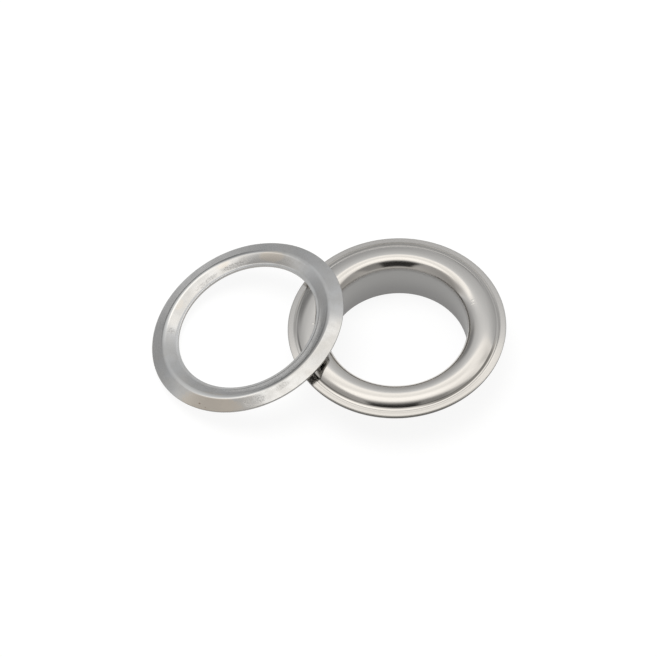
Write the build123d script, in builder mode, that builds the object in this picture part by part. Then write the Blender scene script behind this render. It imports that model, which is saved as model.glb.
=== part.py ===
from build123d import *
from bisect import bisect
import math
import os

# A two-piece grommet stamped from thin nickel-plated sheet, in millimetres with +Z up.
# The eyelet stands on the foot of its barrel, flange uppermost. The washer that closes on it
# from behind the cloth lies beside it, one edge down and the other leaning on the flange.
# The origin is on the eyelet's axis at the foot of the barrel.

# Sheet of both pieces, with its edges sheared square
sheet = 0.4

# Eyelet: widths run outwards from the bore, heights are of the face that shows
bore_diameter = 20.0
eyelet_height = 7.0       # foot of the barrel to the crest of the dome
roll_radius = 1.35        # roll at the top of the barrel
shoulder_angle = 50.0     # slope where the roll runs out into the shoulder
shoulder_radius = 2.2     # rise from the roll to the crest
dome_fall_width = 2.0     # crest to the foot of the dome
dome_fall = 0.63          # crest down to the ledge
ledge_width = 0.6         # narrow ring at the foot of the dome
ledge_drop = 0.14         # fall of the ledge over its width
rim_width = 1.0           # flared rim outside the ledge
rim_drop = 0.28           # fall of the rim over its width

# Washer: a shallow inverted V with a level lip round its hole
barrel_clearance = 0.1    # all round, between the barrel and the washer's hole
lip_width = 0.4
lip_height = 0.1          # lip above the outer edge
cone_width = 1.7          # lip to ridge
skirt_width = 2.0         # ridge to outer edge
ridge_height = 0.8        # ridge above the outer edge, before it is rounded
ridge_radius = 0.6

# How the two lie
centre_spacing = 21.5     # level distance from the eyelet's axis to the washer's centre
lean_clearance = 0.03     # between the washer and the flange it leans on

# Roll and shoulder turn the barrel's wall over to the crest, where the face is level
shoulder_slope = math.radians(shoulder_angle)
roll_reach = roll_radius * (1 - math.sin(shoulder_slope))
roll_rise = roll_radius * math.cos(shoulder_slope)
shoulder_reach = shoulder_radius * math.sin(shoulder_slope)
shoulder_rise = shoulder_radius * (1 - math.cos(shoulder_slope))

# Radii and heights of the eyelet's face
bore_radius = bore_diameter / 2
crest_radius = bore_radius + roll_reach + shoulder_reach
dome_radius = crest_radius + dome_fall_width
ledge_radius = dome_radius + ledge_width
rim_radius = ledge_radius + rim_width
barrel_straight = eyelet_height - shoulder_rise - roll_rise
dome_foot_height = eyelet_height - dome_fall
ledge_height = dome_foot_height - ledge_drop
rim_height = ledge_height - rim_drop

# Radii of the washer
hole_radius = bore_radius + sheet + barrel_clearance
lip_radius = hole_radius + lip_width
ridge_line_radius = lip_radius + cone_width
washer_radius = ridge_line_radius + skirt_width

# Eyelet: its face runs from the foot of the bore over roll, shoulder, dome and ledge to the
# rim, with the sheet's thickness behind it
with BuildPart() as eyelet:
    with BuildSketch(Plane.XZ):
        with BuildLine():
            bore_wall = Line((bore_radius, 0), (bore_radius, barrel_straight))
            roll = JernArc(bore_wall @ 1, bore_wall % 1, roll_radius, shoulder_angle - 90)
            shoulder = JernArc(roll @ 1, roll % 1, shoulder_radius, -shoulder_angle)
            dome = TangentArc(shoulder @ 1, (dome_radius, dome_foot_height), tangent=shoulder % 1)
            ledge = Line(dome @ 1, (ledge_radius, ledge_height))
            rim = Line(ledge @ 1, (rim_radius, rim_height))
            offset(amount=sheet, side=Side.RIGHT, kind=Kind.INTERSECTION)
        make_face()
    revolve(axis=Axis.Z)

# Washer section, drawn flat: its face runs from the lip of the hole over the ridge to the
# outer edge
with BuildSketch() as washer_section:
    with BuildLine():
        lip = Line((hole_radius, lip_height), (lip_radius, lip_height))
        cone = Line(lip @ 1, (ridge_line_radius, ridge_height))
        skirt = Line(cone @ 1, (washer_radius, 0))
        offset(amount=sheet, side=Side.RIGHT, kind=Kind.INTERSECTION)
    make_face()
    fillet(washer_section.vertices().sort_by(Axis.Y)[-1], ridge_radius)

# How the washer leans: the two faces are compared at points along the sections, all round
samples = 150
turn_step = 2
steepest_lean = 80.0
halvings = 24
flange_faces = (roll, shoulder, dome, ledge, rim)
flange_points = [face @ (i / samples) for face in flange_faces for i in range(samples + 1)]
flange_radii = [point.X for point in flange_points]
washer_outline = washer_section.sketch.face().outer_wire()
washer_points = [washer_outline @ (i / samples) for i in range(samples)]
washer_points += [corner.center() for corner in washer_outline.vertices()]


def flange_height(radius):
    """Height of the flange's face at a distance from the eyelet's axis."""
    after = min(max(bisect(flange_radii, radius), 1), len(flange_radii) - 1)
    low, high = flange_points[after - 1], flange_points[after]
    share = (radius - low.X) / max(high.X - low.X, 1e-9)
    return low.Y + min(share, 1) * (high.Y - low.Y)


def centre_height(lean):
    """Height of the washer's centre that puts its low edge on the floor."""
    return -washer_section.sketch.rotate(Axis.Z, -lean).bounding_box().min.Y


def gap_over_flange(lean):
    """Smallest height of the washer above the flange, which it meets on the eyelet's left."""
    tilt = math.radians(lean)
    height = centre_height(lean)
    gaps = []
    for point in washer_points:
        for turn in range(0, 181, turn_step):
            along = point.X * math.cos(math.radians(turn))
            across = point.X * math.sin(math.radians(turn))
            x = along * math.cos(tilt) - point.Y * math.sin(tilt) - centre_spacing
            z = along * math.sin(tilt) + point.Y * math.cos(tilt) + height
            radius = math.hypot(x, across)
            if bore_radius < radius < rim_radius:
                gaps.append(z - flange_height(radius))
    return min(gaps, default=lean_clearance)


def lean_on_flange():
    """The least lean, in degrees, at which the washer clears the flange."""
    low, high = 0.0, steepest_lean
    if gap_over_flange(low) >= lean_clearance:
        return low
    for _ in range(halvings):
        middle = (low + high) / 2
        if gap_over_flange(middle) < lean_clearance:
            low = middle
        else:
            high = middle
    return high


washer_lean = lean_on_flange()
washer_plane = Plane(
    origin=(-centre_spacing, 0, centre_height(washer_lean)),
    x_dir=(math.cos(math.radians(washer_lean)), 0, math.sin(math.radians(washer_lean))),
    z_dir=(0, -1, 0),
)

# Washer, turned round its own leaning axis
with BuildPart() as washer:
    with BuildSketch(washer_plane):
        add(washer_section.sketch)
    revolve(axis=Axis(washer_plane.origin, washer_plane.y_dir))

os.makedirs("parts", exist_ok=True)
eyelet.part.label = "eyelet"
washer.part.label = "washer"
export_step(eyelet.part, "parts/eyelet.step")
export_step(washer.part, "parts/washer.step")
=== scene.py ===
"""A two-piece nickel grommet on a white floor.

The eyelet stands on the foot of its barrel, flange up, and the washer leans on the flange.
Sizes are in millimetres and turned into metres where a mesh is made.
"""

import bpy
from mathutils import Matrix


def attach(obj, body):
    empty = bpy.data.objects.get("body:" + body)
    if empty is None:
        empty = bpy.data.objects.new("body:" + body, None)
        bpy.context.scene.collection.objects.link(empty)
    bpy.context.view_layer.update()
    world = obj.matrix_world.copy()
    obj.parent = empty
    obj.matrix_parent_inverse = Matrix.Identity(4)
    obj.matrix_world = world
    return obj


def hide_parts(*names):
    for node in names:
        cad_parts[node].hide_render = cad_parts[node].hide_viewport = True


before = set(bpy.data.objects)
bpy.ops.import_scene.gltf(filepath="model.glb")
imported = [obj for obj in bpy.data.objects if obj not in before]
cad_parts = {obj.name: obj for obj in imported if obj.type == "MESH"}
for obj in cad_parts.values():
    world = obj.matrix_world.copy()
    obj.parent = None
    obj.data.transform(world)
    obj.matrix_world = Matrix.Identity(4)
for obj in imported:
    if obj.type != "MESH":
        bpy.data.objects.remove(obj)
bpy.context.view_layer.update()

import logging
import math
from dataclasses import dataclass
from enum import Enum

import bpy
from mathutils import Matrix, Vector

log = logging.getLogger("grommet")

# A millimetre in metres, and the number of points round every ring
MM = 0.001
ROUND_STEPS = 360

# Points nearer than this are one, in millimetres, and rings whose sizes differ less are alike
JOIN_WITHIN = 0.002
SAME_SIZE = 1e-9

# Distance from the end of a straight to its guard stop and the most of the straight that it
# takes, and the shortest straight that is drawn, in millimetres
GUARD = 0.02
GUARD_SHARE = 0.25
SHORTEST = 0.01

Colour = tuple[float, float, float, float]
Range = tuple[float, float]
Stops = tuple[tuple[float, float], ...]


class Slot(Enum):
    """The finishes that a piece can take."""

    BRIGHT = "bright_nickel"
    SATIN = "satin_nickel"


class SheetLine:
    """The line of a sheet's face in section, drawn as straights and bends from the axis outwards.

    Every stop of the line is one ring of the finished piece.
    """

    def __init__(self, radius: float, height: float, heading: float) -> None:
        """Starts the line.

        Args:
            radius: Distance from the axis, in millimetres.
            height: Height, in millimetres.
            heading: Direction in degrees, 0 outwards and 90 up.
        """
        self.radius = radius
        self.height = height
        self.heading = math.radians(heading)
        self.stops: list[tuple[float, float]] = [(radius, height)]
        self.coined: set[int] = set()

    def _step(self, length: float) -> None:
        """Moves along the heading and leaves a stop.

        Args:
            length: Length of the step, in millimetres.
        """
        self.radius += length * math.cos(self.heading)
        self.height += length * math.sin(self.heading)
        self.stops.append((self.radius, self.height))

    def straight(
        self, length: float, inner: int = 1, start: float = GUARD, end: float = GUARD
    ) -> "SheetLine":
        """Draws a straight with a stop near each end, which keeps its shading flat.

        Args:
            length: Length in millimetres.
            inner: Number of equal parts between the two guard stops.
            start: Distance of the first guard stop, which is past the rounding at a sheared edge.
            end: Distance of the last guard stop from the straight's end.

        Returns:
            The line itself.
        """
        start, end = min(start, length * GUARD_SHARE), min(end, length * GUARD_SHARE)
        self._step(start)
        for _ in range(inner):
            self._step((length - start - end) / inner)
        self._step(end)
        return self

    def coin_from(self, first: int) -> None:
        """Marks the stops from a number to the last as struck into the face alone."""
        self.coined.update(range(first, len(self.stops)))

    def outline(self, sheet: float) -> list[tuple[float, float]]:
        """Closes the section with the sheet's other face.

        Args:
            sheet: Thickness of the sheet, in millimetres.

        Returns:
            Radius and height of the stops along the face and back along the underside.
        """
        plain = [
            Vector(stop) for number, stop in enumerate(self.stops) if number not in self.coined
        ]
        back = []
        for number, here in enumerate(plain):
            behind = (here - plain[max(number - 1, 0)]).normalized()
            ahead = (plain[min(number + 1, len(plain) - 1)] - here).normalized()
            along = (behind + ahead).normalized()
            reach = sheet / max(along.dot(behind), along.dot(ahead))
            back.append((here.x + along.y * reach, here.y - along.x * reach))
        return self.stops + back[::-1]

    def slope_to(self, radius: float, height: float) -> float:
        """Fall from the line's end to a point, in degrees."""
        return math.degrees(math.atan2(self.height - height, radius - self.radius))

    def finish_at(self, radius: float, height: float, parts: int, guard: float) -> "SheetLine":
        """Draws the last straight, to a sheared edge.

        Args:
            radius: Radius of the edge, in millimetres.
            height: Height of the edge, in millimetres.
            parts: Number of equal parts of the straight.
            guard: Distance of the last guard stop from the edge, in millimetres.

        Returns:
            The line itself.
        """
        self.heading = -math.radians(self.slope_to(radius, height))
        length = math.hypot(self.height - height, radius - self.radius)
        return self.straight(length, inner=parts, end=guard)

    def bend(self, radius: float, turn: float, parts: int) -> "SheetLine":
        """Draws a round bend.

        Args:
            radius: Radius of the bend in millimetres.
            turn: Change of heading in degrees, positive to the left.
            parts: Number of chords.

        Returns:
            The line itself.
        """
        part = math.radians(turn) / parts
        chord = 2 * radius * math.sin(abs(part) / 2)
        for _ in range(parts):
            self.heading += part / 2
            self._step(chord)
            self.heading += part / 2
        return self


Value = float | bpy.types.NodeSocket


class Wiring:
    """Adds nodes to one node tree and joins them."""

    def __init__(self, tree: bpy.types.NodeTree) -> None:
        """Takes a node tree and empties it.

        Args:
            tree: Tree of a material or of the world.
        """
        self.tree = tree
        tree.nodes.clear()

    def add(self, kind: str, **settings: object) -> bpy.types.Node:
        """Adds one node.

        Args:
            kind: Type of the node without its "ShaderNode" start.
            settings: Properties of the node.

        Returns:
            The new node.
        """
        node = self.tree.nodes.new("ShaderNode" + kind)
        for name, value in settings.items():
            setattr(node, name, value)
        return node

    def feed(self, socket: bpy.types.NodeSocket, value: object) -> None:
        """Links a socket to an input, or writes a constant into it.

        Args:
            socket: The input.
            value: A socket or a constant.
        """
        if isinstance(value, bpy.types.NodeSocket):
            self.tree.links.new(value, socket)
        else:
            socket.default_value = value

    def math(
        self, operation: str, first: Value, second: Value = 0.0, clamp: bool = False
    ) -> bpy.types.NodeSocket:
        """Works out one sum.

        Args:
            operation: Name of the operation.
            first: First number.
            second: Second number.
            clamp: Keeps the result within 0 and 1.

        Returns:
            The result.
        """
        node = self.add("Math", operation=operation, use_clamp=clamp)
        self.feed(node.inputs[0], first)
        self.feed(node.inputs[1], second)
        return node.outputs[0]

    def _join(self, operation: str, values: tuple[Value, ...]) -> Value:
        """Joins a row of values with one operation, from the first to the last.

        Args:
            operation: Name of the operation.
            values: The values.

        Returns:
            The result.
        """
        result = values[0]
        for value in values[1:]:
            result = self.math(operation, result, value)
        return result

    def product(self, *values: Value) -> Value:
        """All the values multiplied."""
        return self._join("MULTIPLY", values)

    def total(self, *values: Value) -> Value:
        """All the values added up."""
        return self._join("ADD", values)

    def largest(self, *values: Value) -> Value:
        """The largest of the values."""
        return self._join("MAXIMUM", values)

    def less(self, first: Value, second: Value) -> bpy.types.NodeSocket:
        """The first value less the second."""
        return self.math("SUBTRACT", first, second)

    def vectors(self, operation: str, first: object, second: object) -> bpy.types.Node:
        """Joins two vectors.

        Args:
            operation: Name of the operation.
            first: First vector.
            second: Second vector.

        Returns:
            The node, whose output depends on the operation.
        """
        node = self.add("VectorMath", operation=operation)
        self.feed(node.inputs[0], first)
        self.feed(node.inputs[1], second)
        return node

    def dot(self, first: object, second: object) -> bpy.types.NodeSocket:
        """The dot product of two vectors."""
        return self.vectors("DOT_PRODUCT", first, second).outputs["Value"]

    def vector(self, x: Value, y: Value, z: Value) -> bpy.types.NodeSocket:
        """Joins three numbers into a vector.

        Args:
            x: First part.
            y: Second part.
            z: Third part.

        Returns:
            The vector.
        """
        node = self.add("CombineXYZ")
        for socket, value in zip(node.inputs, (x, y, z)):
            self.feed(socket, value)
        return node.outputs[0]

    def _mixed(
        self, kind: str, share: Value, first: object, second: object
    ) -> bpy.types.NodeSocket:
        """Mixes two numbers or two colours.

        Args:
            kind: What is mixed, FLOAT or RGBA.
            share: Share of the second.
            first: First number or colour.
            second: Second number or colour.

        Returns:
            The mixture.
        """
        node = self.add("Mix", data_type=kind)
        self.feed(node.inputs["Factor"], share)
        self.feed(node.inputs["A"], first)
        self.feed(node.inputs["B"], second)
        return node.outputs["Result"]

    def mix(self, share: Value, first: Value, second: Value) -> bpy.types.NodeSocket:
        """Goes from the first number to the second as the share goes from 0 to 1."""
        return self._mixed("FLOAT", share, first, second)

    def blend(self, share: Value, first: object, second: object) -> bpy.types.NodeSocket:
        """Goes from the first colour to the second as the share goes from 0 to 1."""
        return self._mixed("RGBA", share, first, second)

    def rise(
        self, value: Value, low: float, high: float, start: Value = 0.0, end: Value = 1.0
    ) -> bpy.types.NodeSocket:
        """Goes smoothly from start to end while a value goes from low to high.

        Args:
            value: The value that is followed.
            low: Value at the start.
            high: Value at the end.
            start: Result at and before low.
            end: Result at and after high.

        Returns:
            The result.
        """
        node = self.add("MapRange", interpolation_type="SMOOTHSTEP")
        names = ("Value", "From Min", "From Max", "To Min", "To Max")
        for name, setting in zip(names, (value, low, high, start, end)):
            self.feed(node.inputs[name], setting)
        return node.outputs[0]

    def band(
        self, value: Value, low: float, high: float, soft: float, soft_high: float | None = None
    ) -> Value:
        """Is 1 between two values and falls smoothly to 0 over a width at each of them.

        Args:
            value: The value that is followed.
            low: Lower end of the band.
            high: Upper end of the band.
            soft: Width of the fall at the lower end.
            soft_high: Width of the fall at the upper end, if it isn't the same.

        Returns:
            The mask.
        """
        lower, upper = soft / 2, (soft if soft_high is None else soft_high) / 2
        return self.product(
            self.rise(value, low - lower, low + lower),
            self.rise(value, high - upper, high + upper, 1.0, 0.0),
        )

    def noise(
        self, place: bpy.types.NodeSocket, scale: float, detail: float = 2.0, rough: float = 0.5
    ) -> bpy.types.NodeSocket:
        """A soft cloud pattern, 0 to 1.

        Args:
            place: Coordinates that it follows.
            scale: Fineness of the pattern.
            detail: Number of finer layers.
            rough: Strength of the finer layers.

        Returns:
            The pattern's value.
        """
        node = self.add("TexNoise")
        settings = {"Vector": place, "Scale": scale, "Detail": detail, "Roughness": rough}
        for name, setting in settings.items():
            self.feed(node.inputs[name], setting)
        return node.outputs["Fac"]

    def curve(self, value: Value, stops: Stops) -> bpy.types.NodeSocket:
        """Follows a row of values through smooth steps.

        Args:
            value: The value that is followed.
            stops: Pairs of value and result, in rising order.

        Returns:
            The result.
        """
        low, high = stops[0][0], stops[-1][0]
        share = self.math("DIVIDE", self.less(value, low), high - low, clamp=True)
        node = self.add("ValToRGB")
        self.feed(node.inputs["Fac"], share)
        elements = node.color_ramp.elements
        for number, (place, result) in enumerate(stops):
            spot = (place - low) / (high - low)
            element = elements[number] if number < 2 else elements.new(spot)
            element.position = spot
            element.color = (result, result, result, 1)
        node.color_ramp.interpolation = "EASE"
        return node.outputs["Color"]


@dataclass(frozen=True)
class Mark:
    """A small scuff, stain or press mark on a ring.

    Attributes:
        turn: Angle round the ring, in degrees from its +X side.
        radius: Distance from the axis, in millimetres.
        length: Size round the ring, in millimetres.
        width: Size outwards, in millimetres.
        strength: How strongly it shows, 0 to 1.
    """

    turn: float
    radius: float
    length: float
    width: float
    strength: float = 1.0


class RingMeasures:
    """Where a point of a ring lies, for patterns that follow the ring.

    Attributes:
        place: Coordinates with the ring's axis along Z.
        radius: Distance from the axis, in millimetres.
        height: Height along the axis, in millimetres.
    """

    SHEARED_STRIP = (-0.06, -0.02)
    RAGGED_FINENESS = 2200.0
    RAGGED_BORDER = (0.9, 1.7)

    def __init__(self, wiring: Wiring, place: bpy.types.NodeSocket) -> None:
        """Works out the measures.

        Args:
            wiring: Wiring of the material.
            place: Coordinates with the ring's axis along Z.
        """
        self.wiring = wiring
        self.place = place
        split = wiring.add("SeparateXYZ")
        wiring.feed(split.inputs[0], place)
        self.x, self.y, z = (wiring.product(part, 1 / MM) for part in split.outputs)
        squares = wiring.total(wiring.product(self.x, self.x), wiring.product(self.y, self.y))
        self.radius = wiring.math("SQRT", squares)
        self.height = z

    def towards(self, turn: float) -> bpy.types.NodeSocket:
        """Goes from -1 to 1 round the ring and is 1 at one turn.

        Args:
            turn: That turn, in degrees from the ring's +X side.

        Returns:
            The measure.
        """
        turn = math.radians(turn)
        along = self.wiring.dot(self.place, (math.cos(turn) / MM, math.sin(turn) / MM, 0))
        return self.wiring.math("DIVIDE", along, self.radius)

    def streaks(self, fineness: float, length: float) -> bpy.types.NodeSocket:
        """Lines that run round the ring, as polishing and drawing leave them.

        Args:
            fineness: Lines per millimetre of radius or height.
            length: Length of a streak, in millimetres.

        Returns:
            The pattern's value, 0 to 1.
        """
        wiring = self.wiring
        outwards = wiring.product(self.radius, fineness)
        stretched = wiring.vector(
            wiring.total(wiring.product(self.x, 1 / length), outwards),
            wiring.product(self.y, 1 / length),
            wiring.product(self.height, fineness),
        )
        return wiring.noise(stretched, 1.0)

    def sheared_edge(self, radius: float, height: float, slope: float) -> bpy.types.NodeSocket:
        """Is 1 on the sheared outer edge of a ring.

        Args:
            radius: Radius of the face's outer edge, in millimetres.
            height: Its height along the axis, in millimetres.
            slope: Fall of the face towards the edge, in degrees.

        Returns:
            The mask.
        """
        wiring = self.wiring
        fall = math.radians(slope)
        along = wiring.less(
            wiring.product(wiring.less(self.radius, radius), math.cos(fall)),
            wiring.product(wiring.less(self.height, height), math.sin(fall)),
        )
        return wiring.rise(along, *self.SHEARED_STRIP)

    def spot(self, mark: Mark) -> bpy.types.NodeSocket:
        """Is 1 in a small patch of the ring, with a ragged border.

        Args:
            mark: Where the patch is and how large.

        Returns:
            The mask.
        """
        wiring = self.wiring
        cos, sin = math.cos(math.radians(mark.turn)), math.sin(math.radians(mark.turn))
        east = wiring.less(self.x, mark.radius * cos)
        north = wiring.less(self.y, mark.radius * sin)
        parts: list[Value] = [wiring.noise(self.place, self.RAGGED_FINENESS)]
        for part_x, part_y, size in ((-sin, cos, mark.length / 2), (cos, sin, mark.width / 2)):
            reach = wiring.total(
                wiring.product(east, part_x / size), wiring.product(north, part_y / size)
            )
            parts.append(wiring.product(reach, reach))
        return wiring.rise(wiring.total(*parts), *self.RAGGED_BORDER, mark.strength, 0.0)

    def marked(self, marks: tuple[Mark, ...]) -> Value:
        """The strongest of several marks at each point, 0 to 1."""
        return self.wiring.largest(*(self.spot(mark) for mark in marks))

    def lined(self, lines: "tuple[RingLine, ...]") -> Value:
        """The strongest of several lines at each point, 0 to 1."""
        return self.wiring.largest(*(line.mask(self) for line in lines))

    def round_about(
        self, axis: tuple[float, float, float], centre: tuple[float, float, float]
    ) -> bpy.types.NodeSocket:
        """The direction round the ring, in the object's own directions.

        Args:
            axis: The ring's axis.
            centre: A point of the axis, in millimetres.

        Returns:
            The tangent.
        """
        wiring = self.wiring
        place = wiring.add("TexCoord").outputs["Object"]
        arm = wiring.vectors("SUBTRACT", place, tuple(part * MM for part in centre))
        cross = wiring.vectors("CROSS_PRODUCT", axis, arm.outputs[0])
        unit = wiring.add("VectorMath", operation="NORMALIZE")
        wiring.feed(unit.inputs[0], cross.outputs[0])
        return unit.outputs[0]


@dataclass(frozen=True)
class RingLine:
    """A line round a ring, whose strength may change on its way.

    Attributes:
        inner: Inner radius, in millimetres.
        outer: Outer radius, in millimetres.
        fade: Width over which each side of the line fades, in millimetres.
        turn: Turn that the changes are measured towards, 90 for the back of the ring.
        first: Strength on the side opposite that turn.
        changes: Start and end of each change, from -1 opposite the turn to 1 at it, and the
            strength after the change.
    """

    inner: float
    outer: float
    fade: float = 0.12
    turn: float = 90.0
    first: float = 0.0
    changes: tuple[tuple[float, float, float], ...] = ()

    def mask(self, ring: RingMeasures) -> Value:
        """The line's strength at each point.

        Args:
            ring: Measures of the ring.

        Returns:
            The mask.
        """
        wiring = ring.wiring
        strength: Value = self.first
        for start, end, after in self.changes:
            strength = wiring.rise(ring.towards(self.turn), start, end, strength, after)
        return wiring.product(wiring.band(ring.radius, self.inner, self.outer, self.fade), strength)


@dataclass(frozen=True)
class Nickel:
    """Nickel plate on stamped sheet.

    Attributes:
        name: Name of the material.
        tint: Colour of the plate.
        warm_tint: Colour where the plate has yellowed a little.
        edge_and_shade_tint: Colour of the sheared edges, which the plate covers thinly, darkened
            further by painted shade.
        roughness: Roughness of the open face.
        grain: Height of the fine grain, in millimetres.
        drawn: Height of the drawing lines round the ring, in millimetres.
        smear: How far reflections are smeared across the drawing lines, 0 to 1.
        smear_turn: Direction of the smear, as a share of a full turn.
        cloud_layers: Number of finer layers in the clouds.
    """

    name: str
    tint: Colour
    warm_tint: Colour
    edge_and_shade_tint: Colour
    roughness: float
    grain: float
    drawn: float
    smear: float = 0.6
    smear_turn: float = 0.25
    cloud_layers: int = 3

    def _start(self) -> tuple[bpy.types.Material, Wiring, bpy.types.Node]:
        """Makes the material with a metal shader, smeared across its drawing lines.

        Returns:
            The material, its wiring and its shader.
        """
        material = bpy.data.materials.new(self.name)
        material.use_nodes = True
        wiring = Wiring(material.node_tree)
        shader = wiring.add("BsdfPrincipled")
        output = wiring.add("OutputMaterial")
        wiring.feed(output.inputs["Surface"], shader.outputs["BSDF"])
        wiring.feed(shader.inputs["Metallic"], 1.0)
        wiring.feed(shader.inputs["Anisotropic"], self.smear)
        wiring.feed(shader.inputs["Anisotropic Rotation"], self.smear_turn)
        return material, wiring, shader

    def _relief(self, wiring: Wiring, shader: bpy.types.Node, *heights: Value) -> None:
        """Gives the shader a relief.

        Args:
            wiring: Wiring of the material.
            shader: Its shader.
            heights: Heights in millimetres, which add up.
        """
        bump = wiring.add("Bump")
        wiring.feed(bump.inputs["Strength"], 1.0)
        wiring.feed(bump.inputs["Distance"], MM)
        wiring.feed(bump.inputs["Height"], wiring.total(*heights))
        wiring.feed(shader.inputs["Normal"], bump.outputs["Normal"])


@dataclass(frozen=True)
class BrightNickel(Nickel):
    """Polished plate of the eyelet, matte inside the barrel where the wheel doesn't reach.

    Attributes:
        wall: Radius at which the matte wall ends and the polish begins, in millimetres.
        wall_roughness: Roughness of the wall.
        painted_shade_wall_tint: Colour of the wall below the roll, darkened as painted shade inside
            the barrel.
        painted_shade_foot_tint: Colour of the wall at its foot, darker painted shade.
        foot_reach: Heights between which the wall goes from one to the other.
        rim: Radius and height of the rim's edge, in millimetres, and its slope in degrees.
        yellowed: Radii between which the yellowing ends.
        yellow_clouds: Values of the clouds between which it sets in.
        frosted: Radii between which the frosted rim begins.
        frost: Roughening of the rim, as a share of a scuff's.
        rubbed: Roughness that a scuff adds.
        uneven: Roughness that clouds and lines add.
        clouds: Fineness of the clouds.
        specks: Fineness of the grain.
        lines: Lines per millimetre and their length, in millimetres.
        broad_lines: The same for the broad lines.
        broad_height: Height of the broad lines, as a multiple of the others'.
        scuff_tint: Colour of a scuff.
        scuff_height: Height of its burr, in millimetres.
        dull_and_painted_shade_tint: Colour of the painted shade lines.
        painted_dark_shade_tint: Colour of the darker painted shade lines.
        painted_shade_lines: Painted shade at the dome's foot, on the ledge and on the step.
        painted_dark_shade_lines: Darker painted shade in the groove, at its right and round the
            rim.
        scuffs: Where it is scuffed.
    """

    wall: Range = (10.02, 10.3)
    wall_roughness: float = 0.45
    # Painted shade inside the barrel, darker towards its foot.
    painted_shade_wall_tint: Colour = (0.39, 0.385, 0.375, 1)
    painted_shade_foot_tint: Colour = (0.29, 0.285, 0.28, 1)
    foot_reach: Range = (0.0, 5.0)
    rim: tuple[float, float, float] = (15.52, 6.05, 10.13)
    yellowed: Range = (10.2, 12.0)
    yellow_clouds: Range = (0.35, 0.7)
    frosted: Range = (14.7, 14.85)
    frost: float = 0.4
    rubbed: float = 0.3
    uneven: float = 0.04
    clouds: float = 260.0
    specks: float = 2600.0
    lines: Range = (9.0, 6.0)
    broad_lines: Range = (2.5, 14.0)
    broad_height: float = 4.0
    scuff_tint: Colour = (0.9, 0.88, 0.84, 1)
    scuff_height: float = 0.01
    # Painted shade in lines round the dome's foot, ledge, step, groove and rim.
    dull_and_painted_shade_tint: Colour = (0.36, 0.348, 0.33, 1)
    painted_dark_shade_tint: Colour = (0.17, 0.163, 0.154, 1)
    painted_shade_lines: tuple[RingLine, ...] = (
        RingLine(13.6, 14.08, changes=((0.4, 0.9, 0.85),)),
        RingLine(14.3, 14.72, changes=((-0.35, -0.05, 0.6), (0.1, 0.5, 0.5))),
        RingLine(14.74, 14.94, first=0.25, changes=((-0.8, -0.3, 0.0),)),
    )
    painted_dark_shade_lines: tuple[RingLine, ...] = (
        RingLine(14.02, 14.24, first=0.75, changes=((-1.0, -0.8, 1.0), (-0.45, 0.1, 0.25))),
        RingLine(14.02, 14.34, turn=-40.0, changes=((0.76, 0.95, 1.0),)),
        RingLine(15.3, 15.7, first=0.88, changes=((-0.9, -0.5, 0.1),)),
    )
    scuffs: tuple[Mark, ...] = (
        Mark(22.6, 11.4, 0.3, 0.5),
        Mark(-176.1, 11.8, 0.25, 0.4),
        Mark(20.0, 11.2, 0.2, 0.6, 0.7),
    )

    def material(self) -> bpy.types.Material:
        """Makes the material.

        Returns:
            The polished nickel.
        """
        material, wiring, shader = self._start()
        place = wiring.add("TexCoord").outputs["Object"]
        ring = RingMeasures(wiring, place)
        wiring.feed(shader.inputs["Tangent"], ring.round_about((0, 0, 1), (0, 0, 0)))
        wall = wiring.rise(ring.radius, *self.wall, 1.0, 0.0)
        scuff = ring.marked(self.scuffs)
        cloud = wiring.noise(place, self.clouds, self.cloud_layers)
        lines = ring.streaks(*self.lines)
        frost = wiring.product(wiring.rise(ring.radius, *self.frosted), self.frost)
        face = wiring.total(
            self.roughness,
            wiring.product(wiring.total(cloud, lines), self.uneven),
            wiring.product(wiring.largest(scuff, frost), self.rubbed),
        )
        wiring.feed(shader.inputs["Roughness"], wiring.mix(wall, face, self.wall_roughness))
        warm = wiring.product(
            wiring.rise(ring.radius, *self.yellowed, 1.0, 0.0),
            wiring.rise(cloud, *self.yellow_clouds),
        )
        painted_wall_shade = wiring.blend(
            wiring.rise(ring.height, *self.foot_reach), self.painted_shade_foot_tint, self.painted_shade_wall_tint
        )
        plate: object = self.tint
        for share, colour in (
            (warm, self.warm_tint),
            # Painted shade in lines round the flange.
            (ring.lined(self.painted_shade_lines), self.dull_and_painted_shade_tint),
            (ring.lined(self.painted_dark_shade_lines), self.painted_dark_shade_tint),
            (scuff, self.scuff_tint),
            # Painted shade on the barrel's wall, darker towards its foot.
            (wall, painted_wall_shade),
            # The sheared edge: thin plate, darkened further by painted shade.
            (ring.sheared_edge(*self.rim), self.edge_and_shade_tint),
        ):
            plate = wiring.blend(share, plate, colour)
        wiring.feed(shader.inputs["Base Color"], plate)
        self._relief(
            wiring,
            shader,
            wiring.product(wiring.noise(place, self.specks), self.grain),
            wiring.product(lines, self.drawn),
            wiring.product(ring.streaks(*self.broad_lines), self.drawn * self.broad_height),
            wiring.product(scuff, self.scuff_height),
        )
        return material


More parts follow.
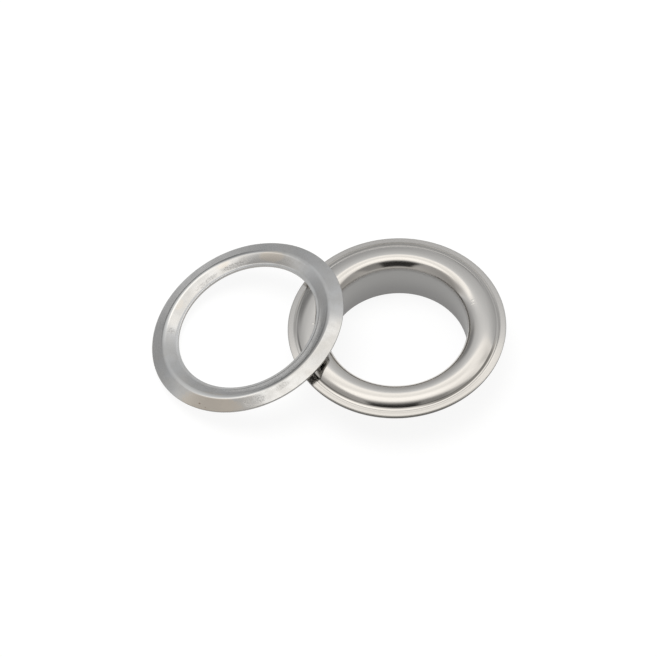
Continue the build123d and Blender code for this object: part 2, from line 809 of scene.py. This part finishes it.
@dataclass(frozen=True)
class SatinNickel(Nickel):
    """Tumbled satin plate of the washer.

    Attributes:
        centre: A point of the leaning axis, in millimetres.
        lean: Lean of the axis, in degrees.
        hole: Radii of the hole's sheared edge, in millimetres.
        skirt: Radius and height of the outer edge, in millimetres, and its slope in degrees.
        clouds: Fineness of the clouds.
        cloud_values: Values of the clouds between which the plate turns warmer.
        mottle: Fineness of the mottling.
        mottle_contrast: Strength of its finer layers.
        mottle_values: Values of its pattern between which it sets in.
        mottle_share: Share of the dull colour where it is mottled.
        mottle_height: Height of the mottling, as a share of the lines'.
        grains: Fineness of the grain.
        lines: Lines per millimetre and their length, in millimetres.
        uneven: Roughness that clouds, lines and mottling add.
        ridge: The rubbed line along the ridge.
        ridge_roughness: Its roughness, as a share of the plate's.
        bare_and_highlight_tint: Colour where the ridge is rubbed, brightened further as a painted
            highlight.
        bare_and_highlight_lines: Where round the ridge that is, at two turns.
        dull_and_painted_shade_tint: Colour of the mottling, the washer's own duller tone.
        shaded_tint: Colour of the sides that face away from the ring's lit side.
        shaded_turn: Turn at which they face away the most.
        shaded_sides: How far round they go, from -1 to 1.
        inner_side: Radii between which the inner side goes over into the outer.
        off_lip: Radii between which the lip goes over into the cone.
        lip: The part of the lip that carries a painted highlight.
        lip_highlight_tint: Its colour, a painted highlight.
        shade_under_ridge: Painted shade in a dark line under the ridge, on one side.
        smudge_and_shade_tint: Colour of that painted shade and of what is pressed in.
        worn_tint: Colour of what is left standing.
        smudges: Patches pressed by handling and stamping.
        grit: Fineness of their grain.
        pressed: Values of the grain between which it is pressed in.
        pressed_share: Share of the smudge's colour there.
        pressed_depth: Depth there, in millimetres.
        raised: Values of the grain between which it is left standing.
        raised_share: Share of the worn colour there.
        smudge_roughness: Roughness that a smudge adds.
        tans: Yellowed patches.
        tan_tint: Their colour.
        stains: Tiny stains.
        stain_tint: Their colour.
    """

    centre: tuple[float, float, float] = (0.0, 0.0, 0.0)
    lean: float = 0.0
    hole: Range = (10.5, 10.52)
    skirt: tuple[float, float, float] = (14.6, 0.0, 21.0)
    clouds: float = 300.0
    cloud_values: Range = (0.4, 0.7)
    mottle: float = 700.0
    mottle_contrast: float = 0.55
    mottle_values: Range = (0.35, 0.7)
    mottle_share: float = 0.5
    mottle_height: float = 0.6
    grains: float = 5200.0
    lines: Range = (11.0, 3.0)
    uneven: float = 0.05
    ridge: RingLine = RingLine(12.2, 12.8, 0.2, first=1.0)
    ridge_roughness: float = 0.6
    # Rubbed ridge, brightened as a painted highlight at two turns.
    bare_and_highlight_tint: Colour = (0.8, 0.79, 0.77, 1)
    bare_and_highlight_lines: tuple[RingLine, ...] = (
        RingLine(12.2, 12.8, 0.2, 150.0, changes=((0.72, 0.95, 1.0),)),
        RingLine(12.2, 12.8, 0.2, 255.0, changes=((0.72, 0.95, 1.0),)),
    )
    dull_and_painted_shade_tint: Colour = (0.55, 0.538, 0.52, 1)
    shaded_tint: Colour = (0.46, 0.457, 0.452, 1)
    shaded_turn: float = 130.0
    shaded_sides: Range = (0.5, 0.95)
    inner_side: Range = (11.9, 12.5)
    off_lip: Range = (10.8, 11.1)
    # Painted highlight on the lip at one side of the ring.
    lip: RingLine = RingLine(10.5, 10.86, 0.1, 150.0, changes=((0.5, 0.85, 1.0),))
    lip_highlight_tint: Colour = (0.84, 0.832, 0.82, 1)
    # Painted shade under the ridge on one side.
    shade_under_ridge: RingLine = RingLine(12.4, 12.76, 0.14, 322.0, changes=((0.75, 0.97, 0.85),))
    smudge_and_shade_tint: Colour = (0.4, 0.39, 0.375, 1)
    worn_tint: Colour = (0.7, 0.692, 0.675, 1)
    smudges: tuple[Mark, ...] = (
        Mark(176.5, 11.6, 1.1, 1.0),
        Mark(104.0, 11.3, 5.0, 0.8, 0.7),
        Mark(130.0, 11.2, 5.0, 0.7, 0.6),
        Mark(62.0, 11.6, 2.4, 0.6, 0.4),
        Mark(-79.0, 13.6, 3.4, 1.3, 0.6),
        Mark(-60.0, 13.3, 2.6, 0.9, 0.5),
    )
    grit: float = 4200.0
    pressed: Range = (0.5, 0.62)
    pressed_share: float = 0.38
    pressed_depth: float = 0.011
    raised: Range = (0.38, 0.48)
    raised_share: float = 0.55
    smudge_roughness: float = 0.15
    tans: tuple[Mark, ...] = (
        Mark(-108.0, 13.6, 11.0, 3.4),
        Mark(76.0, 11.9, 4.4, 1.8, 0.8),
        Mark(112.0, 12.0, 2.0, 0.9, 0.5),
        Mark(155.0, 11.9, 2.0, 1.0, 0.4),
    )
    tan_tint: Colour = (0.7, 0.645, 0.575, 1)
    stains: tuple[Mark, ...] = (
        Mark(-114.6, 13.9, 0.35, 0.2),
        Mark(-110.0, 14.25, 0.3, 0.15, 0.6),
    )
    stain_tint: Colour = (0.36, 0.28, 0.22, 1)

    def _upright(self, wiring: Wiring) -> bpy.types.NodeSocket:
        """Coordinates with the washer's leaning axis along Z.

        Args:
            wiring: Wiring of the material.

        Returns:
            The coordinates.
        """
        mapping = wiring.add("Mapping", vector_type="TEXTURE")
        wiring.feed(mapping.inputs["Vector"], wiring.add("TexCoord").outputs["Object"])
        wiring.feed(mapping.inputs["Location"], tuple(part * MM for part in self.centre))
        wiring.feed(mapping.inputs["Rotation"], (0, -math.radians(self.lean), 0))
        return mapping.outputs[0]

    def _facing_away(self, wiring: Wiring, ring: RingMeasures) -> Value:
        """Is 1 on the sides of cone and skirt that face away from the ring's lit side.

        Args:
            wiring: Wiring of the material.
            ring: Measures of the washer.

        Returns:
            The mask.
        """
        away = wiring.product(
            ring.towards(self.shaded_turn), wiring.rise(ring.radius, *self.inner_side, -1.0, 1.0)
        )
        return wiring.product(
            wiring.rise(away, *self.shaded_sides), wiring.rise(ring.radius, *self.off_lip)
        )

    def material(self) -> bpy.types.Material:
        """Makes the material.

        Returns:
            The satin nickel.
        """
        material, wiring, shader = self._start()
        place = self._upright(wiring)
        ring = RingMeasures(wiring, place)
        lean = math.radians(self.lean)
        axis = (-math.sin(lean), 0, math.cos(lean))
        wiring.feed(shader.inputs["Tangent"], ring.round_about(axis, self.centre))
        cloud = wiring.noise(place, self.clouds, self.cloud_layers)
        mottle = wiring.rise(
            wiring.noise(place, self.mottle, self.cloud_layers, self.mottle_contrast),
            *self.mottle_values,
        )
        lines = ring.streaks(*self.lines)
        smudge = ring.marked(self.smudges)
        grit = wiring.noise(place, self.grit)
        pressed = wiring.product(smudge, wiring.rise(grit, *self.pressed))
        raised = wiring.product(smudge, wiring.rise(grit, *self.raised, 1.0, 0.0))
        rough = wiring.total(
            self.roughness,
            wiring.product(wiring.total(cloud, lines, mottle), self.uneven),
            wiring.product(smudge, self.smudge_roughness),
        )
        rubbed = self.roughness * self.ridge_roughness
        wiring.feed(shader.inputs["Roughness"], wiring.mix(self.ridge.mask(ring), rough, rubbed))
        edge = wiring.largest(
            wiring.rise(ring.radius, *self.hole, 1.0, 0.0), ring.sheared_edge(*self.skirt)
        )
        plate: object = self.tint
        for share, colour in (
            (wiring.rise(cloud, *self.cloud_values), self.warm_tint),
            (wiring.product(mottle, self.mottle_share), self.dull_and_painted_shade_tint),
            (ring.marked(self.tans), self.tan_tint),
            (self._facing_away(wiring, ring), self.shaded_tint),
            # Painted highlight on the lip at one side of the ring.
            (self.lip.mask(ring), self.lip_highlight_tint),
            (wiring.product(pressed, self.pressed_share), self.smudge_and_shade_tint),
            (wiring.product(raised, self.raised_share), self.worn_tint),
            (ring.marked(self.stains), self.stain_tint),
            # Rubbed ridge, brightened as a painted highlight at two turns.
            (ring.lined(self.bare_and_highlight_lines), self.bare_and_highlight_tint),
            # Painted shade under the ridge on one side.
            (self.shade_under_ridge.mask(ring), self.smudge_and_shade_tint),
            # The sheared edges: thin plate, darkened further by painted shade.
            (edge, self.edge_and_shade_tint),
        ):
            plate = wiring.blend(share, plate, colour)
        wiring.feed(shader.inputs["Base Color"], plate)
        self._relief(
            wiring,
            shader,
            wiring.product(wiring.noise(place, self.grains), self.grain),
            wiring.product(lines, self.drawn),
            wiring.product(mottle, self.drawn * self.mottle_height),
            wiring.product(pressed, -self.pressed_depth),
        )
        return material


def deselect_everything() -> None:
    """Leaves no object selected, so that an operator acts on the new primitive alone."""
    for thing in bpy.context.selected_objects:
        thing.select_set(False)


@dataclass
class StampedRing:
    """A ring pressed from sheet, raised from a circle all round its section.

    Attributes:
        name: Name of the piece.
        node: CAD node that the piece stands for.
        slot: Finish of the piece; not used.
        sheet: Thickness of the sheet, in millimetres.
        edge_break: Width of the rounding on the sheared edges, in millimetres.
        edge_parts: Number of strips of that rounding.
        edge_guard: Distance from a sheared edge to the first ring of the face, in millimetres.
        corner: Least turn of the section that is a sheared edge, in degrees.
        smooth: Largest turn between two faces that are shaded as one, in degrees.
    """

    name: str
    node: str
    slot: Slot
    sheet: float = 0.4
    edge_break: float = 0.07
    edge_parts: int = 3
    edge_guard: float = 0.13
    corner: float = 60.0
    smooth: float = 35.0

    def face_line(self) -> SheetLine:
        """The section of the face that shows; each kind of ring draws its own."""
        raise NotImplementedError

    def place(self, piece: bpy.types.Object) -> None:
        """Brings the finished ring to where it lies; a ring on the origin's axis stays."""

    def build(self, finish: Nickel) -> bpy.types.Object:
        """Makes the ring.

        Args:
            finish: Its surface.

        Returns:
            The finished piece, riding on the root body in place of its CAD node.
        """
        piece = self._raise_rings(self.face_line().outline(self.sheet))
        self._close()
        self._break_edges(piece)
        self.place(piece)
        piece.name = self.name
        piece.data.name = self.name
        piece.data.materials.append(finish.material())
        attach(piece, "root")
        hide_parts(self.node)
        log.info("%s: %d faces", self.name, len(piece.data.polygons))
        return piece

    def _raise_rings(self, stops: list[tuple[float, float]]) -> bpy.types.Object:
        """Extrudes a circle from stop to stop of the section.

        Args:
            stops: Radius and height of every ring, all round the section.

        Returns:
            The ring, whose last stop lies on its first.
        """
        deselect_everything()
        radius, height = stops[0]
        bpy.ops.mesh.primitive_circle_add(
            vertices=ROUND_STEPS, radius=radius * MM, fill_type="NOTHING", location=(0, 0, 0)
        )
        piece = bpy.context.object
        bpy.ops.object.mode_set(mode="EDIT")
        bpy.ops.mesh.select_all(action="SELECT")
        bpy.ops.transform.translate(value=(0, 0, height * MM))
        for next_radius, next_height in stops[1:] + stops[:1]:
            bpy.ops.mesh.extrude_region_move(
                TRANSFORM_OT_translate={"value": (0, 0, (next_height - height) * MM)}
            )
            grow = next_radius / radius
            if abs(grow - 1) > SAME_SIZE:
                bpy.ops.transform.resize(
                    value=(grow, grow, 1), center_override=(0, 0, next_height * MM)
                )
            radius, height = next_radius, next_height
        bpy.ops.object.mode_set(mode="OBJECT")
        return piece

    def _close(self) -> None:
        """Joins the last stop to the first and points all normals outwards."""
        bpy.ops.object.mode_set(mode="EDIT")
        bpy.ops.mesh.select_all(action="SELECT")
        bpy.ops.mesh.remove_doubles(threshold=JOIN_WITHIN * MM)
        bpy.ops.mesh.select_all(action="SELECT")
        bpy.ops.mesh.normals_make_consistent(inside=False)
        bpy.ops.object.mode_set(mode="OBJECT")

    def _break_edges(self, piece: bpy.types.Object) -> None:
        """Rounds the sheared edges and smooths the shading of the bends.

        Args:
            piece: The closed ring.
        """
        bpy.context.view_layer.objects.active = piece
        edges = piece.modifiers.new("sheared edges", "BEVEL")
        edges.width = self.edge_break * MM
        edges.segments = self.edge_parts
        edges.limit_method = "ANGLE"
        edges.angle_limit = math.radians(self.corner)
        bpy.ops.object.modifier_apply(modifier=edges.name)
        piece.select_set(True)
        bpy.ops.object.shade_smooth_by_angle(angle=math.radians(self.smooth))


@dataclass
class Eyelet(StampedRing):
    """The barrel and its domed flange, one drawn sheet standing on the barrel's foot.

    Attributes:
        bore_radius: Radius of the bore, as all lengths in millimetres.
        barrel_straight: Height of the straight wall.
        wall_parts: Number of rings that divide it.
        roll_radius: Radius of the roll at the top of the barrel.
        roll_parts: Number of rings of the roll.
        shoulder_slope: Slope where the roll runs out into the shoulder, in degrees.
        shoulder_radius: Radius of the rise to the crest.
        shoulder_parts: Number of its rings.
        dome_arc: Radius of the fall from the crest.
        dome_foot_slope: Slope at the foot of the dome, in degrees.
        dome_parts: Number of the dome's rings.
        foot_straight: Straight at the foot of the dome, from which the bend takes its part.
        foot_bend: Radius of the bend there.
        foot_parts: Number of its rings.
        ledge_slope: Fall of the ledge, in degrees.
        ledge_width: Width of the ledge.
        step_slope: Slope of the small step up, in degrees.
        step_length: Length of the step.
        step_bend: Radius of its two bends.
        step_parts: Number of rings of each.
        over_share: Length that the step's upper bend takes, as a share of the lower one's.
        rim_radius: Radius of the rim's edge.
        rim_height: Height of the rim's edge.
        rim_parts: Number of rings that divide the rim.
    """

    bore_radius: float = 10.0
    barrel_straight: float = 5.3464
    wall_parts: int = 12
    roll_radius: float = 1.35
    roll_parts: int = 16
    shoulder_slope: float = 50.0
    shoulder_radius: float = 2.2
    shoulder_parts: int = 24
    dome_arc: float = 3.4896
    dome_foot_slope: float = 34.97
    dome_parts: int = 20
    foot_straight: float = 0.08
    foot_bend: float = 0.5
    foot_parts: int = 10
    ledge_slope: float = 20.5
    ledge_width: float = 0.44
    step_slope: float = 35.0
    step_length: float = 0.09
    step_bend: float = 0.06
    step_parts: int = 5
    over_share: float = 0.5
    rim_radius: float = 15.52
    rim_height: float = 6.05
    rim_parts: int = 2

    def face_line(self) -> SheetLine:
        """Draws bore wall, roll, shoulder, dome, ledge, the small step up and the rim.

        Returns:
            The line of the face from the barrel's foot to the rim.
        """
        foot_turn = self.dome_foot_slope - self.ledge_slope
        foot_trim = self.foot_bend * math.tan(math.radians(foot_turn / 2))
        up_turn = self.ledge_slope + self.step_slope
        up_trim = self.step_bend * math.tan(math.radians(up_turn / 2))
        ledge_length = self.ledge_width / math.cos(math.radians(self.ledge_slope))
        line = SheetLine(self.bore_radius, 0, 90)
        line.straight(self.barrel_straight, inner=self.wall_parts, start=self.edge_guard)
        line.bend(self.roll_radius, self.shoulder_slope - 90, self.roll_parts)
        line.bend(self.shoulder_radius, -self.shoulder_slope, self.shoulder_parts)
        line.bend(self.dome_arc, -self.dome_foot_slope, self.dome_parts)
        line.straight(max(self.foot_straight - foot_trim, SHORTEST))
        line.bend(self.foot_bend, foot_turn, self.foot_parts)
        line.straight(ledge_length - foot_trim - up_trim)
        ledge_end = len(line.stops) - 1
        line.bend(self.step_bend, up_turn, self.step_parts)
        line.straight(self.step_length - (1 + self.over_share) * up_trim)
        over_turn = self.step_slope + line.slope_to(self.rim_radius, self.rim_height)
        line.bend(self.step_bend, -over_turn, self.step_parts)
        line.coin_from(ledge_end)
        return line.finish_at(self.rim_radius, self.rim_height, self.rim_parts, self.edge_guard)


@dataclass
class Washer(StampedRing):
    """The ridged backing washer, a shallow inverted V with a level lip round its hole.

    Attributes:
        hole_radius: Radius of the hole, as all lengths in millimetres.
        lip_height: Height of the lip above the outer edge.
        lip_width: Width of the lip.
        lip_bend: Radius of the bend from lip to cone.
        lip_parts: Number of its rings.
        cone_width: Width of the cone.
        cone_rise: Rise of the cone up to the ridge, before the ridge is rounded.
        cone_crown: Angle by which the cone is crowned, in degrees.
        cone_parts: Number of the cone's rings.
        ridge_radius: Radius of the ridge.
        ridge_parts: Number of its rings.
        outer_radius: Radius of the outer edge.
        skirt_fall: Fall from the ridge to the outer edge.
        skirt_parts: Number of rings that divide the skirt.
        centre: Where the washer's centre lies.
        lean: Lean of the washer, in degrees.
    """

    hole_radius: float = 10.5
    lip_height: float = 0.1
    lip_width: float = 0.4
    lip_bend: float = 0.5
    lip_parts: int = 8
    cone_width: float = 1.7
    cone_rise: float = 0.7
    cone_crown: float = 7.0
    cone_parts: int = 8
    ridge_radius: float = 1.0
    ridge_parts: int = 16
    outer_radius: float = 14.6
    skirt_fall: float = 0.8
    skirt_parts: int = 2
    centre: tuple[float, float, float] = (-21.5, 0.0, 4.473035)
    lean: float = 16.552119

    def face_line(self) -> SheetLine:
        """Draws lip, cone, ridge and skirt.

        Returns:
            The line of the face from the hole's edge to the outer edge.
        """
        cone = math.degrees(math.atan2(self.cone_rise, self.cone_width))
        ridge_line = self.hole_radius + self.lip_width + self.cone_width
        skirt = math.degrees(math.atan2(self.skirt_fall, self.outer_radius - ridge_line))
        lip_turn, ridge_turn = cone + self.cone_crown / 2, cone - self.cone_crown / 2 + skirt
        lip_trim = self.lip_bend * math.tan(math.radians(cone / 2))
        ridge_trim = self.ridge_radius * math.tan(math.radians((cone + skirt) / 2))
        cone_length = math.hypot(self.cone_rise, self.cone_width)
        crown_radius = (cone_length - lip_trim - ridge_trim) / math.radians(self.cone_crown)
        line = SheetLine(self.hole_radius, self.lip_height, 0)
        line.straight(self.lip_width - lip_trim, start=self.edge_guard)
        line.bend(self.lip_bend, lip_turn, self.lip_parts)
        line.bend(crown_radius, -self.cone_crown, self.cone_parts)
        line.bend(self.ridge_radius, -ridge_turn, self.ridge_parts)
        return line.finish_at(self.outer_radius, 0, self.skirt_parts, self.edge_guard)

    def place(self, piece: bpy.types.Object) -> None:
        """Leans the washer and puts its left edge on the floor."""
        lean = Matrix.Rotation(-math.radians(self.lean), 4, "Y")
        piece.data.transform(Matrix.Translation(Vector(self.centre) * MM) @ lean)


@dataclass(frozen=True)
class Patch:
    """A lighter or darker part of the studio's walls.

    Attributes:
        over: Where it starts and ends over the object, in degrees from the front horizon.
        over_soft: Softness of those two edges, in degrees.
        side: Where it starts and ends sideways, from -1 at the left to 1 at the right.
        side_soft: Softness of those two edges.
        gain: Share by which it is lighter than the wall, or darker if negative.
    """

    over: Range
    over_soft: Range
    side: Range
    side_soft: Range
    gain: float

    def factor(self, wiring: Wiring, over: Value, side: Value) -> Value:
        """What the patch multiplies the light by.

        Args:
            wiring: Wiring of the world.
            over: How far over the object a direction is.
            side: How far sideways it is.

        Returns:
            The factor.
        """
        across = wiring.band(side, *self.side, *self.side_soft)
        along = wiring.band(over, *self.over, *self.over_soft)
        return wiring.total(1.0, wiring.product(along, across, self.gain))


@dataclass
class Studio:
    """Camera, floor and light.

    The walls are given by two measures of a direction: how far over the object it is, in degrees
    from the horizon in front through the zenith to the horizon behind, and how far sideways,
    from -1 at the left to 1 at the right.

    Attributes:
        azimuth: Turn of the camera round the object, in degrees.
        elevation: Height of the camera over the horizon, in degrees.
        roll: Roll of the camera, in degrees.
        distance: Distance of the camera, in millimetres.
        aim_right: Shift of the camera to its right, in millimetres.
        aim_up: Shift of the camera upwards, in millimetres.
        lens: Focal length, in millimetres.
        sensor: Width of the sensor, in millimetres.
        clip: Nearest and farthest distance that is seen, in metres.
        floor_size: Width of the floor, in metres.
        floor_tints: Two tints of the floor, mixed in soft clouds.
        floor_clouds: Fineness of those clouds.
        floor_roughness: Roughness of the floor.
        floor_lift: Share of plain white where the floor is seen or mirrored.
        floor_white: Strength of that white.
        lamp_power: Power of the overhead lamp, in watts.
        lamp_size: Width of the lamp, in metres.
        lamp_spot: Where the lamp hangs, in metres.
        wall_light: Light of the walls by how far over.
        left_side: Sides between which the walls fall off to the left.
        left_fall: Share of the light at the far left.
        right_side: Sides between which they fall off to the right.
        right_fall: Share of the light at the far right.
        wall_turn: Where the walls change from front_colour to back_colour.
        front_colour: Colour of the walls in front.
        back_colour: Colour of the walls behind.
        strip_colour: Colour of the strip light.
        strip_from: Middle of the strip's front edge and its softness, in degrees.
        strip_to: Middle of the strip's back edge and its softness, in degrees.
        strip_lift: How much further over the front edge starts at the left, in degrees.
        lift_side: Sides between which that ends.
        strip_side: Sides between which the strip begins.
        strip_light: Light of the strip by how far over.
        dim_side: Sides between which the strip grows weaker.
        dim_fall: Share of its light at the right.
        flare: Brighter part of the strip.
        patches: Other parts of the walls: the dark card at the camera and its weaker side, the
            darker left and the lighter right behind.
    """

    azimuth: float = 8.298
    elevation: float = 55.033
    roll: float = -4.432
    distance: float = 468.0
    aim_right: float = -9.694
    aim_up: float = 3.869
    lens: float = 178.77
    sensor: float = 36.0
    clip: Range = (0.01, 10.0)
    floor_size: float = 6.0
    floor_tints: tuple[Colour, Colour] = ((0.86, 0.86, 0.86, 1), (0.88, 0.88, 0.88, 1))
    floor_clouds: float = 3.0
    floor_roughness: float = 0.9
    floor_lift: float = 0.84
    floor_white: float = 1.05
    lamp_power: float = 1.7
    lamp_size: float = 0.5
    lamp_spot: tuple[float, float, float] = (-0.12, 0.12, 0.6)
    wall_light: Stops = (
        (-10, 0.38),
        (12, 0.55),
        (75, 0.45),
        (95, 0.6),
        (118, 0.92),
        (134, 0.7),
        (150, 0.56),
        (168, 0.47),
        (195, 0.4),
    )
    left_side: Range = (-1.0, -0.25)
    left_fall: float = 0.8
    right_side: Range = (0.45, 0.85)
    right_fall: float = 0.82
    wall_turn: Range = (95.0, 132.0)
    front_colour: Colour = (1.0, 0.985, 0.965, 1)
    back_colour: Colour = (0.972, 0.986, 1.0, 1)
    strip_colour: Colour = (1.0, 0.985, 0.955, 1)
    strip_from: Range = (76.0, 12.0)
    strip_to: Range = (120.0, 6.0)
    strip_lift: float = 18.0
    lift_side: Range = (-0.6, -0.28)
    strip_side: Range = (-0.78, -0.42)
    strip_light: Stops = ((78, 1.35), (92, 1.5), (103, 1.12), (118, 1.4))
    dim_side: Range = (0.1, 0.8)
    dim_fall: float = 0.72
    flare: Patch = Patch((96.0, 110.0), (8.0, 8.0), (0.36, 0.66), (0.14, 0.14), 0.25)
    patches: tuple[Patch, ...] = (
        Patch((27.0, 68.5), (8.0, 13.0), (-0.38, 0.2), (0.1, 0.1), -0.94),
        Patch((27.0, 73.0), (12.0, 12.0), (0.2, 0.5), (0.12, 0.12), -0.4),
        Patch((148.0, 200.0), (16.0, 16.0), (-0.68, -0.34), (0.16, 0.16), -0.42),
        Patch((144.0, 200.0), (12.0, 12.0), (0.15, 2.0), (0.3, 0.3), 0.13),
    )

    def directions(self) -> tuple[Vector, Vector, Vector]:
        """The camera's right, up and back directions before it is rolled.

        Returns:
            The three directions.
        """
        turn, rise = math.radians(self.azimuth), math.radians(self.elevation)
        level = math.cos(rise)
        back = Vector((math.sin(turn) * level, -math.cos(turn) * level, math.sin(rise)))
        right = Vector((math.cos(turn), math.sin(turn), 0))
        return right, back.cross(right), back

    def camera(self) -> None:
        """Sets the camera at the photograph's angle and framing."""
        right, up, back = self.directions()
        roll = math.radians(-self.roll)
        side = right * math.cos(roll) - up * math.sin(roll)
        top = right * math.sin(roll) + up * math.cos(roll)
        spot = (right * self.aim_right + up * self.aim_up + back * self.distance) * MM
        lens = bpy.data.cameras.new("camera")
        lens.lens = self.lens
        lens.sensor_width = self.sensor
        lens.clip_start, lens.clip_end = self.clip
        camera = bpy.data.objects.new("camera", lens)
        bpy.context.scene.collection.objects.link(camera)
        turned = Matrix((side, top, back)).transposed().to_4x4()
        camera.matrix_world = Matrix.Translation(spot) @ turned
        bpy.context.scene.camera = camera

    def _seen(self, wiring: Wiring) -> Value:
        """Is 1 for what the camera sees directly, in a reflection or through glass.

        Args:
            wiring: Wiring of the floor's material.

        Returns:
            The mask.
        """
        path = wiring.add("LightPath")
        rays = ("Is Camera Ray", "Is Glossy Ray", "Is Transmission Ray")
        return wiring.largest(*(path.outputs[name] for name in rays))

    def _floor_material(self) -> bpy.types.Material:
        """Makes the floor's pale finish, which is white where it is seen or mirrored.

        Returns:
            The material.
        """
        material = bpy.data.materials.new("pale floor")
        material.use_nodes = True
        wiring = Wiring(material.node_tree)
        shader = wiring.add("BsdfPrincipled")
        glow = wiring.add("Emission")
        mixed = wiring.add("MixShader")
        output = wiring.add("OutputMaterial")
        wiring.feed(mixed.inputs[0], wiring.product(self._seen(wiring), self.floor_lift))
        wiring.feed(mixed.inputs[1], shader.outputs["BSDF"])
        wiring.feed(mixed.inputs[2], glow.outputs[0])
        wiring.feed(output.inputs["Surface"], mixed.outputs[0])
        wiring.feed(glow.inputs["Color"], (1, 1, 1, 1))
        wiring.feed(glow.inputs["Strength"], self.floor_white)
        place = wiring.add("TexCoord").outputs["Object"]
        cloud = wiring.noise(place, self.floor_clouds)
        wiring.feed(shader.inputs["Base Color"], wiring.blend(cloud, *self.floor_tints))
        wiring.feed(shader.inputs["Roughness"], self.floor_roughness)
        wiring.feed(shader.inputs["Specular IOR Level"], 0.0)
        return material

    def floor(self) -> None:
        """Lays a pale floor with the object's shadow on it."""
        deselect_everything()
        bpy.ops.mesh.primitive_plane_add(size=self.floor_size, location=(0, 0, 0))
        floor = bpy.context.object
        floor.name = "floor"
        floor.data.materials.append(self._floor_material())

    def lamp(self) -> None:
        """Hangs a broad soft lamp overhead, which lights the floor and softens the shadow."""
        light = bpy.data.lights.new("overhead lamp", "AREA")
        light.shape = "DISK"
        light.size = self.lamp_size
        light.energy = self.lamp_power
        lamp = bpy.data.objects.new("overhead lamp", light)
        bpy.context.scene.collection.objects.link(lamp)
        spot = Vector(self.lamp_spot)
        turned = spot.to_track_quat("Z", "Y").to_matrix().to_4x4()
        lamp.matrix_world = Matrix.Translation(spot) @ turned
        lamp.visible_glossy = False
        lamp.visible_camera = False

    def _strip(self, wiring: Wiring, over: Value, side: Value) -> Value:
        """Is 1 in the strip light overhead.

        Args:
            wiring: Wiring of the world.
            over: How far over the object a direction is.
            side: How far sideways it is.

        Returns:
            The mask.
        """
        start, start_soft = self.strip_from
        end, end_soft = self.strip_to
        lifted = wiring.less(over, wiring.rise(side, *self.lift_side, self.strip_lift, 0.0))
        return wiring.product(
            wiring.rise(lifted, start - start_soft / 2, start + start_soft / 2),
            wiring.rise(over, end - end_soft / 2, end + end_soft / 2, 1.0, 0.0),
            wiring.rise(side, *self.strip_side),
        )

    def surroundings(self) -> None:
        """Surrounds the object with a grey studio, a strip light overhead and its patches."""
        world = bpy.data.worlds.new("studio")
        bpy.context.scene.world = world
        world.use_nodes = True
        wiring = Wiring(world.node_tree)
        looking = wiring.add("TexCoord").outputs["Generated"]
        right, _, back = self.directions()
        front = Vector((back.x, back.y, 0)).normalized()
        side = wiring.dot(looking, tuple(right))
        rising, facing = wiring.dot(looking, (0, 0, 1)), wiring.dot(looking, tuple(front))
        over = wiring.product(wiring.math("ARCTAN2", rising, facing), 180 / math.pi)
        walls = wiring.product(
            wiring.curve(over, self.wall_light),
            wiring.rise(side, *self.left_side, self.left_fall, 1.0),
            wiring.rise(side, *self.right_side, 1.0, self.right_fall),
        )
        strip = self._strip(wiring, over, side)
        strip_light = wiring.product(
            wiring.curve(over, self.strip_light),
            wiring.rise(side, *self.dim_side, 1.0, self.dim_fall),
            self.flare.factor(wiring, over, side),
        )
        light = wiring.mix(strip, walls, strip_light)
        patches = (patch.factor(wiring, over, side) for patch in self.patches)
        wall_colour = wiring.blend(
            wiring.rise(over, *self.wall_turn), self.front_colour, self.back_colour
        )
        background = wiring.add("Background")
        colour = wiring.blend(strip, wall_colour, self.strip_colour)
        wiring.feed(background.inputs["Color"], colour)
        wiring.feed(background.inputs["Strength"], wiring.product(light, *patches))
        output = wiring.add("OutputWorld")
        wiring.feed(output.inputs["Surface"], background.outputs[0])


def main() -> None:
    """Builds the pieces in order."""
    logging.basicConfig(level=logging.INFO, format="%(message)s")
    bpy.context.scene.view_settings.view_transform = "Standard"
    eyelet = Eyelet("eyelet_shell", "eyelet", Slot.BRIGHT)
    eyelet.build(
        BrightNickel(
            "bright nickel",
            tint=(0.668, 0.644, 0.614, 1),
            warm_tint=(0.675, 0.638, 0.59, 1),
            # Near black: thin plate on the sheared edge and painted shade.
            edge_and_shade_tint=(0.11, 0.106, 0.1, 1),
            roughness=0.09,
            grain=0.0005,
            drawn=0.0006,
        )
    )
    washer = Washer("washer_ring", "washer", Slot.SATIN)
    washer.build(
        SatinNickel(
            "satin nickel",
            tint=(0.638, 0.634, 0.628, 1),
            warm_tint=(0.643, 0.628, 0.606, 1),
            edge_and_shade_tint=(0.36, 0.35, 0.335, 1),
            roughness=0.12,
            grain=0.0005,
            drawn=0.0012,
            centre=washer.centre,
            lean=washer.lean,
        )
    )
    studio = Studio()
    studio.camera()
    studio.floor()
    studio.lamp()
    studio.surroundings()


if __name__ == "__main__":
    main()
